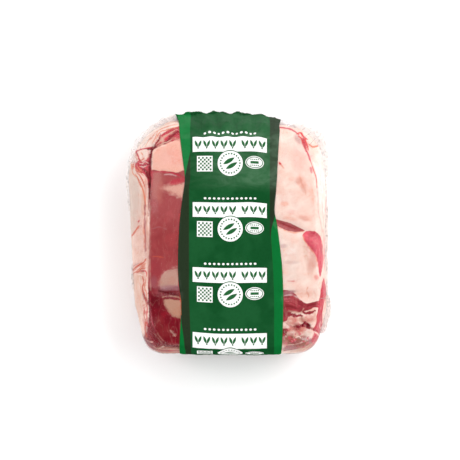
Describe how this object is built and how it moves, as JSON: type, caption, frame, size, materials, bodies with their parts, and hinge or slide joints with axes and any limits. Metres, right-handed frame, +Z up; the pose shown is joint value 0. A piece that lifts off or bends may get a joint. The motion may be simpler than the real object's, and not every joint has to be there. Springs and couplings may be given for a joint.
{
  "type": "raw ribeye in a vacuum pack",
  "caption": "Boneless raw ribeye roast in a clear shrunken vacuum bag with a green printed band, lying flat with its shown face up.",
  "frame": {"origin": "centre of the pack's bounding box, on the surface it lies on", "axes": "+Z up through the shown face, +Y along the pack towards the bag's gathered sealed end, +X to the right of the shown face"},
  "size_m": [0.225, 0.27, 0.08],
  "materials": {
    "meat_in_film": "red meat and pale fat under clear glossy shrunken film",
    "printed_film": "glossy dark green print with white fields on clear film"
  },
  "bodies": {
    "root": {"sealed_bag": "meat_in_film", "printed_band": "printed_film"}
  },
  "joints": []
}
